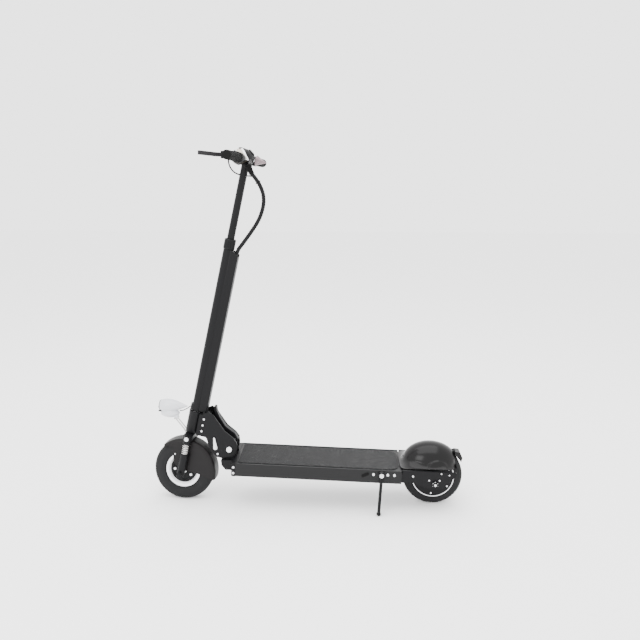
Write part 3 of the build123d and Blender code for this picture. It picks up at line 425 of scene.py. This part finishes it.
SPIN = turn(-90, "X")            # local +Z along +Y
for name, bead, crown, wheel, place in (("front_tyre", 58, 100, "front_wheel", LEVEL),
                                        ("rear_tyre", 70, 97, "rear_wheel", REAR)):
    lathe(name + "_look", tyre_outline(bead, crown), 288, place @ SPIN, "tyre", wheel, (name,),
          tread_relief(crown))
for side in SIDES:
    ring = [(66.2, side * 24.9), (68.6, side * 24.9), (68.6, side * 25.7), (68.2, side * 26.0), (66.6, side * 26.0),
            (66.2, side * 25.7)]
    name = "motor_ring_left" if side > 0 else "motor_ring_right"
    lathe(name, ring, 160, REAR @ SPIN, "silver_paint", "rear_wheel")


def grip_rings():
    """A ribbed grip with a flange at its inner end and a closed, rounded outer end, over the bore for the bar."""
    rings = [(0, 113.2), (11.15, 113.2), (11.15, 0.2), (15.6, 0.2), (16.4, 1.0), (16.4, 4.6), (15.8, 5.6), (14.5, 6.4),
             (14.0, 8.0)]
    for i in range(24):                  # the ribs
        start = 10 + i * 4.2
        rings += [(14.0, start), (14.0, start + 2.4), (13.3, start + 3.0), (13.3, start + 3.8)]
    return rings + [(14.0, 111.5), (13.9, 114.0), (13.2, 115.9), (11.6, 116.8), (6.0, 117.0), (0, 117.0)]


for side, node_name in ((1, "grip_left"), (-1, "grip_right")):
    shape = bmesh.new()
    ring_solid(shape, grip_rings(), 64, mm(BAR @ shift(0, side * 108, 0) @ (LEFT if side > 0 else RIGHT)))
    new_piece(node_name + "_look", mesh_from(node_name, shape), "rubber", "bar", (node_name,), 30)


# ================================================================ cockpit: coloured panels on the pod's two sides
POD = BAR @ shift(12, 0, 7)
POD_HALF = (35.0, 68.0, 27.0)


def on_pod(x, z, side, lift):
    """A spot over the pod's skin, on its left or right, at x forward and z up from its middle."""
    reach = math.hypot(x / POD_HALF[0], z / POD_HALF[2])
    if reach > 0.985:
        x, z, reach = x * 0.985 / reach, z * 0.985 / reach, 0.985
    spot = Vector((x, side * POD_HALF[1] * math.sqrt(1 - reach * reach), z))
    out = Vector([value / half ** 2 for value, half in zip(spot, POD_HALF)]).normalized()
    return spot + out * lift


def smooth_line(spots, t):
    """A point on a smooth line through a few (x, z) spots, with t from 0 to 1."""
    place = t * (len(spots) - 1)
    i = min(int(place), len(spots) - 2)
    u = place - i
    p0, p1, p2, p3 = (Vector(spots[min(max(i + k, 0), len(spots) - 1)]) for k in (-1, 0, 1, 2))
    return 0.5 * (2 * p1 + (p2 - p0) * u + (2 * p0 - 5 * p1 + 4 * p2 - p3) * u * u
                  + (3 * p1 - p0 - 3 * p2 + p3) * u ** 3)


def panel(shape, top, low, side, lift):
    """A thin raised panel on the pod between two lines, with rolled edges that go into the skin."""
    steps, across = 44, 10
    sheets = []
    for height in (lift, -1.2):
        sheet = []
        for i in range(steps + 1):
            row = []
            for j in range(across + 1):
                spot = smooth_line(top, i / steps).lerp(smooth_line(low, i / steps), j / across)
                rim = i in (0, steps) or j in (0, across)
                rise = height * 0.35 if rim and height > 0 else height
                row.append(shape.verts.new(on_pod(spot.x, spot.y, side, rise)))
            sheet.append(row)
        sheets.append(sheet)
    upper, lower = sheets
    for i in range(steps):
        for j in range(across):
            shape.faces.new((upper[i][j], upper[i + 1][j], upper[i + 1][j + 1], upper[i][j + 1]))
            shape.faces.new((lower[i][j], lower[i][j + 1], lower[i + 1][j + 1], lower[i + 1][j]))
        for j in (0, across):
            shape.faces.new((upper[i][j], lower[i][j], lower[i + 1][j], upper[i + 1][j]))
    for j in range(across):
        for i in (0, steps):
            shape.faces.new((upper[i][j], upper[i][j + 1], lower[i][j + 1], lower[i][j]))


def band(spots, width):
    """The two edges of a band that runs along a line and narrows to its ends."""
    edges = ([], [])
    for i in range(13):
        t = i / 12
        here = smooth_line(spots, t)
        ahead = smooth_line(spots, min(t + 0.02, 1)) - smooth_line(spots, max(t - 0.02, 0))
        share = 0.35 + 0.65 * math.sin(math.pi * min(t + 0.12, 1))
        square = Vector((-ahead.y, ahead.x)).normalized() * width * 0.5 * share
        edges[0].append(here + square)
        edges[1].append(here - square)
    return edges


FRONT_SWOOSH = [(9.5, 21.0), (5.6, 13.8), (-1, 7.2), (-13.4, -1.7), (-19.7, -6.9), (-25.5, -11.5)]
REAR_SWOOSH = [(-4, 24.5), (-12.6, 17.2), (-17.6, 11.0), (-22.2, 1.7), (-25.4, -5), (-26.8, -11.5)]
WING_EDGE = [(31, 8), (31, -6), (21.5, -15.7), (11.4, -20.5), (-1.5, -22.1), (-14.1, -19.3), (-24.5, -13.5)]
PANELS = (("pod_swoosh", "silver_paint", "silver_paint", 1.6, (band(FRONT_SWOOSH, 4.2), band(REAR_SWOOSH, 4.2))),
          ("pod_inlay", "panel_tan", "silver_paint", 0.7, ((FRONT_SWOOSH, REAR_SWOOSH),)),
          ("pod_wing", "panel_olive", "black_plastic", 0.9, ((FRONT_SWOOSH, WING_EDGE),)))
for name, finish, slot_name, lift, strips in PANELS:
    for side, word in zip(SIDES, ("left", "right")):
        shape = bmesh.new()
        for top, low in strips:
            panel(shape, top, low, side, lift)
        new_piece(f"{name}_{word}", mesh_from(name, shape, POD), finish, "bar", (), 50)

# the glass of the small round display, which leans towards the rider
DISPLAY = mm(BAR @ shift(-17.4, 0, 21.7) @ turn(-50, "Y"))
turned("display_glass", [(0, 1.2), (8.6, 1.2), (9.0, 1.8), (8.7, 2.15), (7.2, 2.25), (0, 2.35)], 48, DISPLAY,
       "gloss_black", "bar")

# ================================================================ throttle housing: a clamp ring and a silver cone
clamp = [(11.15, -11), (14.2, -11), (15, -10.2), (15, -1.0), (14.5, -0.6), (14.5, 0.6), (15, 1.0), (15, 10.2),
         (14.2, 11), (11.15, 11)]
turned("throttle_clamp", clamp + clamp[:1], 56, mm(BAR @ shift(0, -82, 0) @ LEFT), "black_plastic", "bar",
       ("throttle_housing",))
cone_way = Vector((-35, 0, -8)).normalized()
cone_place = mm(BAR @ shift(-11, -80, 1)) @ facing(cone_way)
cone = [(0, 3), (13.5, 3), (13.8, 1.2), (16.2, 0.6), (16.8, 1.6), (16.5, 3.0), (14.2, 7.0), (12.2, 11), (11.6, 11.6),
        (11.3, 12.4), (9.2, 17), (6.9, 22.5), (4.8, 28), (3.0, 32.5), (1.8, 34.8), (0, 35.6)]
turned("throttle_cone", cone, 56, cone_place, "cone_silver", "bar")
turned("throttle_cap", [(0, -2.5), (12.2, -2.5), (13.2, -1.6), (13.4, 0.4), (12.8, 3.2), (0, 3.4)], 56, cone_place,
       "gloss_black", "bar")

# ================================================================ headlight: a bezel ring and lens clips
LAMP_HEIGHT = 210                # above the front axle
shape = bmesh.new()
bezel = [(14.6, 74), (14.6, 80.8), (15.2, 81.8), (16.6, 81.8), (17.2, 81.0), (17.2, 78.6), (16.4, 78.0), (16.0, 74),
         (14.6, 74)]
ring_solid(shape, bezel, 72, mm(LEVEL @ shift(0, 0, LAMP_HEIGHT) @ turn(90, "Y")))
for height, side in ((-4, 1), (-4, -1), (-17, 1), (-17, -1)):
    ring_solid(shape, [(0, 76), (2.4, 76), (2.6, 84.5), (1.8, 85.6), (0, 85.8)], 20,
               mm(LEVEL @ shift(0, side * 9, LAMP_HEIGHT + height) @ turn(90, "Y")))
new_piece("headlight_bezel", mesh_from("headlight_bezel", shape), "black_plastic", "column", (), 30)

# ================================================================ rear fender: a glossy dome on a flared flange
DOME_AT = (-403.0, 0.0, 138.0)
DOME_HALF = (92.5, 60.0, 66.0)
FLANGE_FRONT, FLANGE_REAR, FLANGE_HALF = 101.0, 80.0, 72.0
FENDER_END = -482.0
FOOT_LEAN = 74.0                 # where the dome starts to flare into its flange, in degrees from its crown


def flange_reach(angle):
    """How far the flange reaches from the dome's middle: a rectangle with round corners."""
    c, s = math.cos(angle), abs(math.sin(angle))
    reach = FLANGE_FRONT if c > 0 else FLANGE_REAR
    return ((abs(c) / reach) ** 8 + (s / FLANGE_HALF) ** 8) ** (-1 / 8)


def fender_spot(angle, t, wall):
    """A point of the fender's skin: t is 0 at its crown, 1 at the dome's foot and 2 at the flange's edge."""
    c, s = math.cos(angle), math.sin(angle)
    foot = 1 / math.hypot(c / (DOME_HALF[0] - 6), s / (DOME_HALF[1] - 2))
    edge = flange_reach(angle) - wall * 0.4
    full = math.radians(FOOT_LEAN)
    if t <= 1:
        radius = foot * math.sin(full * t) / math.sin(full)
        height = DOME_HALF[2] * math.cos(full * t)
    else:
        u = t - 1
        low = DOME_HALF[2] * math.cos(full)
        radius = foot + (edge - foot) * (u ** 1.15)
        height = 3.0 + (low - 3.0) * (1 - u) ** 1.9
    spot = Vector((radius * c, radius * s, height))
    arch = ((spot.x + 18) / 34) ** 2 + ((height - 3) / 24) ** 2
    swell = max(0.0, 1 - max(0.0, arch - 0.7) / 0.3)
    swell = swell * swell * (3 - 2 * swell) * min(1.0, max(0.0, abs(spot.y) - 22) / 20)
    spot.y = math.copysign(min(abs(spot.y) + 5.0 * swell, FLANGE_HALF), spot.y)
    if wall:
        spot = Vector((spot.x * (1 - wall / DOME_HALF[0]), spot.y * (1 - wall / DOME_HALF[1]), spot.z - wall))
    return spot


shape = bmesh.new()
AROUND, RINGS = 144, 64
skins = []
for wall in (0.0, 3.0):
    rows = [[shape.verts.new(fender_spot(0, 0, wall))]]
    for k in range(1, RINGS + 1):
        rows.append([shape.verts.new(fender_spot(2 * math.pi * i / AROUND, 2 * k / RINGS, wall))
                     for i in range(AROUND)])
    skins.append(rows)
    for low, high in zip(rows, rows[1:]):
        for i in range(AROUND):
            j = (i + 1) % AROUND
            if len(low) == 1:
                shape.faces.new((low[0], high[i], high[j]))
            else:
                shape.faces.new((low[i], high[i], high[j], low[j]))
for i in range(AROUND):
    j = (i + 1) % AROUND
    shape.faces.new((skins[0][-1][i], skins[1][-1][i], skins[1][-1][j], skins[0][-1][j]))
cut = bmesh.ops.bisect_plane(shape, geom=shape.verts[:] + shape.edges[:] + shape.faces[:],
                             plane_co=(FENDER_END - DOME_AT[0], 0, 0), plane_no=(-1, 0, 0), clear_outer=True)
edges = [part for part in cut["geom_cut"] if isinstance(part, bmesh.types.BMEdge)]
bmesh.ops.triangle_fill(shape, edges=edges, use_beauty=True)
new_piece("rear_fender_look", mesh_from("rear_fender_look", shape, shift(*DOME_AT)), "gloss_black", "deck",
          ("rear_fender",), 50)


# ================================================================ tail light: a bracket on the fender, and a lens
def prism(name, outline, half_width, bevel, finish):
    """An outline of (x, z) spots given a width across the scooter, with its edges bevelled."""
    shape = bmesh.new()
    sides = [[shape.verts.new(Vector((x, y, z))) for x, z in outline] for y in (-half_width, half_width)]
    made = [shape.faces.new(sides[0]), shape.faces.new(list(reversed(sides[1])))]
    for i in range(len(outline)):
        j = (i + 1) % len(outline)
        made.append(shape.faces.new((sides[0][i], sides[1][i], sides[1][j], sides[0][j])))
    edges = {edge for face in made for edge in face.edges}
    bmesh.ops.recalc_face_normals(shape, faces=made)
    bmesh.ops.bevel(shape, geom=list(edges), offset=bevel, segments=3, affect="EDGES")
    new_piece(name, mesh_from(name, shape), finish, "deck", (), 30)


prism("tail_light_bracket", [(-470, 168), (-470, 176), (-484, 178), (-488, 172), (-484, 165)], 11, 1.2,
      "black_plastic")
prism("tail_light_lens", [(-500, 172), (-504, 162), (-506.5, 156), (-505.8, 150), (-503, 150), (-502, 157),
                          (-497, 171)], 13, 0.8, "tail_lens")


# ================================================================ screws, bolts and nuts
def fasteners(name, node, body, heads=(), nuts=(), finish="steel"):
    """One piece that holds all of a node's screw heads (place, radius, height) and nuts (place, radius, height)."""
    shape = bmesh.new()
    for place, radius, height in heads:
        screw_head(shape, radius, height, place)
    for place, radius, height in nuts:
        nut(shape, radius, height, place)
    new_piece(name, mesh_from(name, shape), finish, body, (node,) if node else (), 30)


fasteners("plate_screws_look", "plate_screws", "head",
          [(at_side(WORLD, x, z, 32, side), 3.6, 2.4) for side in SIDES
           for x, z in ((334, 279), (339, 259), (343, 239), (291, 163))])
fasteners("motor_screws_look", "motor_screws", "rear_wheel",
          [(at_side(REAR, 57 * math.cos(a), 57 * math.sin(a), 25, side), 3.2, 2.0) for side in SIDES
           for a in [math.radians(60 * i - 25) for i in range(6)]])
deck_heads = [(at_side(DECK, x, -13.5, 83, side), 4.6, 2.6) for side in SIDES for x in (-216, -261, -282)]
deck_heads += [(at_side(DECK, 231, z, 83, side), 4.2, 2.6) for side in SIDES for z in (-12, -31)]
deck_heads += [(at_side(DECK, x, z, 80, side), radius, 2.4) for side in SIDES
               for x, z, radius in ((-341, -15, 3.4), (-430, -2.5, 2.5), (-455, -6, 2.5))]
fasteners("deck_bolts_look", "deck_bolts", "deck", deck_heads, [(at_side(DECK, -241, -11, 95.2, 1), 7.6, 4.5)])
fasteners("fork_bolts_look", "fork_bolts", "column", (),
          [(at_side(STEER, 0, 120.5, 53, side), 7.5, 2.6) for side in SIDES])
fasteners("front_axle_nuts", None, "fork_lower", (), [(at_side(LEVEL, 0, 0, 53.6, side), 9.0, 5.0) for side in SIDES],
          "black_metal")
fasteners("rear_axle_nuts", None, "deck", (), [(at_side(REAR, 0, 0, 81.7, side), 9.5, 5.5) for side in SIDES])
fasteners("fender_screws", None, "fork_lower", [(at_side(LEVEL, 24, 56, 27.2, side), 2.6, 1.6) for side in SIDES])
fasteners("torque_arm_screws", None, "deck",
          [(at_side(REAR, x, z, 80, side), 3.0, 2.2) for side in SIDES for x, z in ((19, 12), (-14, 12))])


# ================================================================ cables
def route_line(name, place, route):
    """The smooth line of a route: a NURBS spline with the route's points as its control points."""
    curve = bpy.data.curves.new(name, "CURVE")
    curve.dimensions = "3D"
    curve.resolution_u = 24
    spline = curve.splines.new("NURBS")
    spline.points.add(len(route) - 1)
    for control, spot in zip(spline.points, route):
        control.co = (*point(place, *spot), 1)
    spline.order_u = 3
    spline.use_endpoint_u = True
    holder = bpy.data.objects.new(name, curve)
    bpy.context.scene.collection.objects.link(holder)
    bpy.context.view_layer.update()
    drawn = bpy.data.meshes.new_from_object(holder)
    line = [vertex.co.copy() for vertex in drawn.vertices]
    bpy.data.objects.remove(holder)
    bpy.data.curves.remove(curve)
    bpy.data.meshes.remove(drawn)
    return line


def evenly(line, step):
    """The same line with points a step apart."""
    spots, along = [line[0]], 0.0
    for a, b in zip(line, line[1:]):
        length = (b - a).length
        while along + length >= step * len(spots):
            spots.append(a.lerp(b, (step * len(spots) - along) / length))
        along += length
    if (spots[-1] - line[-1]).length > step * 0.3:
        spots.append(line[-1])
    return spots


def wrapped_tube(name, line, sides, radius_at, finish, body=None):
    """A closed tube along a line; radius_at(metres along, angle) shapes its skin. With no body it is linked without a
    body to ride on.
    """
    shape = bmesh.new()
    side_way = Vector((0, 1, 0))
    rings, along = [], 0.0
    for i, spot in enumerate(line):
        ahead = (line[min(i + 1, len(line) - 1)] - line[max(i - 1, 0)]).normalized()
        side_way = (side_way - ahead * side_way.dot(ahead)).normalized()
        other = ahead.cross(side_way)
        along += (spot - line[i - 1]).length if i else 0.0
        ring = []
        for j in range(sides):
            angle = 2 * math.pi * j / sides
            out = side_way * math.cos(angle) + other * math.sin(angle)
            ring.append(shape.verts.new(spot + out * radius_at(along, angle)))
        rings.append(ring)
    for low, high in zip(rings, rings[1:]):
        for j in range(sides):
            k = (j + 1) % sides
            shape.faces.new((low[j], low[k], high[k], high[j]))
    shape.faces.new(list(reversed(rings[0])))
    shape.faces.new(rings[-1])
    mesh = mesh_from(name, shape, scale=1)
    if body:
        return new_piece(name, mesh, finish, body)
    mesh.materials.append(M[finish])
    mesh.shade_smooth()
    piece = bpy.data.objects.new(name, mesh)
    bpy.context.scene.collection.objects.link(piece)
    return piece


MAIN_ROUTE = [(-26.5, 0, 700), (-26.4, 0, 746), (-42, 0.5, 777), (-62, 2, 820), (-79, 3.5, 862), (-85, 5, 905),
              (-80, 8, 940), (-64, 12, 968), (-43, 17, 990), (-23, 21, 1006), (-13, 24, 1024)]
MAIN_CABLE = 0.013               # cable diameters, in metres
BRAKE_CABLE = 0.0044
LAMP_WIRE = 0.003
WRAP_PITCH = 0.0085
WRAP_DEPTH = 0.0011


def wrap_radius(along, angle):
    """The skin of a spiral wrap: a groove that winds round the cable."""
    phase = (along / WRAP_PITCH - angle / (2 * math.pi)) % 1.0
    return MAIN_CABLE / 2 - WRAP_DEPTH * math.exp(-((phase - 0.5) / 0.11) ** 2)


main_line = evenly(route_line("main_route", STEER, MAIN_ROUTE), 0.0011)
main_cable = wrapped_tube("main_cable", main_line, 28, wrap_radius, "cable")
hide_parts("cable_loop")
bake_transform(main_cable)

# a ribbed boot where the cable goes into the pod, and a tie round the cable below it
BOOT_AT, TIE_AT = -28, -58       # counted in points from the cable's upper end
boot_way = (main_line[-1] - main_line[BOOT_AT]).normalized()
boot = [(6.6, -2.0), (7.6, -2.0), (8.0, -1.2)]
for i in range(6):
    wide, start = i * 0.25, i * 4.4
    boot += [(8.2 + wide, start), (8.3 + wide, start + 2.6), (7.4 + wide, start + 3.2), (7.4 + wide, start + 4.0)]
boot += [(10.4, 27.0), (11.6, 28.0), (11.6, 31.0), (6.6, 31.0), (6.6, -2.0)]
turned("cable_boot", boot, 48, mm(Matrix.Translation(main_line[BOOT_AT])) @ facing(boot_way), "rubber", "bar")
tie_way = (main_line[TIE_AT + 2] - main_line[TIE_AT - 2]).normalized()
tie = [(6.4, -2), (8.0, -2), (8.5, -1.4), (8.5, 1.4), (8.0, 2), (6.4, 2), (6.4, -2)]
turned("cable_tie", tie, 40, mm(Matrix.Translation(main_line[TIE_AT])) @ facing(tie_way), "black_plastic", "bar")


def thin_cable(name, node, place, route, diameter, body):
    """A thin cable that stands in for a CAD one; both of its ends go into the scooter."""
    line = evenly(route_line(name + "_route", place, route), 0.002)
    piece = wrapped_tube(name, line, 14, lambda along, angle: diameter / 2, "cable", body)
    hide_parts(node)


BRAKE_ROUTE = [(36, 83.5, 0), (39, 68, -7), (42, 53, -18), (40, 36, -32), (34, 14, -43), (24, -8, -48),
               (10, -18.5, -50.5), (-5, -14, -51.5), (-16, -3, -53), (-26.5, 7.5, -55)]
LAMP_ROUTE = [(55.5, 0, 186), (46, 1, 189), (37, 0, 196), (29, -1, 203), (23, 0, 211)]
thin_cable("brake_cable_look", "brake_cable", BAR, BRAKE_ROUTE, BRAKE_CABLE, "bar")
thin_cable("headlight_wire_look", "headlight_wire", STEER, LAMP_ROUTE, LAMP_WIRE, "column")

# ================================================================ floor and lights
FLOOR_HALF = 12                  # metres
FLOOR_GREY = 0.96
SKY_STRENGTH = 3.0
floor_shape = bmesh.new()
bmesh.ops.create_grid(floor_shape, x_segments=1, y_segments=1, size=FLOOR_HALF)
floor_mesh = bpy.data.meshes.new("floor")
floor_shape.to_mesh(floor_mesh)
floor_shape.free()
floor = bpy.data.objects.new("floor", floor_mesh)
bpy.context.scene.collection.objects.link(floor)
floor_finish = bpy.data.materials.new("floor")
floor_finish.use_nodes = True
floor_shader = floor_finish.node_tree.nodes["Principled BSDF"]
floor_shader.inputs["Base Color"].default_value = (FLOOR_GREY, FLOOR_GREY, FLOOR_GREY, 1)
floor_shader.inputs["Roughness"].default_value = 0.9
floor_shader.inputs["Specular IOR Level"].default_value = 0.1
floor_mesh.materials.append(floor_finish)

world = bpy.data.worlds.new("studio")
bpy.context.scene.world = world
world.use_nodes = True
world.node_tree.nodes["Background"].inputs["Color"].default_value = (1, 1, 1, 1)
world.node_tree.nodes["Background"].inputs["Strength"].default_value = SKY_STRENGTH


def area_light(name, at, aim, size, power):
    data = bpy.data.lights.new(name, "AREA")
    data.shape = "RECTANGLE"
    data.size, data.size_y = size
    data.energy = power
    lamp = bpy.data.objects.new(name, data)
    bpy.context.scene.collection.objects.link(lamp)
    lamp.location = at
    lamp.rotation_mode = "QUATERNION"
    lamp.rotation_quaternion = (Vector(aim) - Vector(at)).to_track_quat("-Z", "Y")


area_light("overhead", (0.0, 0.3, 3.2), (0, 0, 0), (3.5, 3.0), 110)
area_light("key", (1.6, 2.8, 2.0), (0, 0, 0.3), (1.6, 1.6), 50)
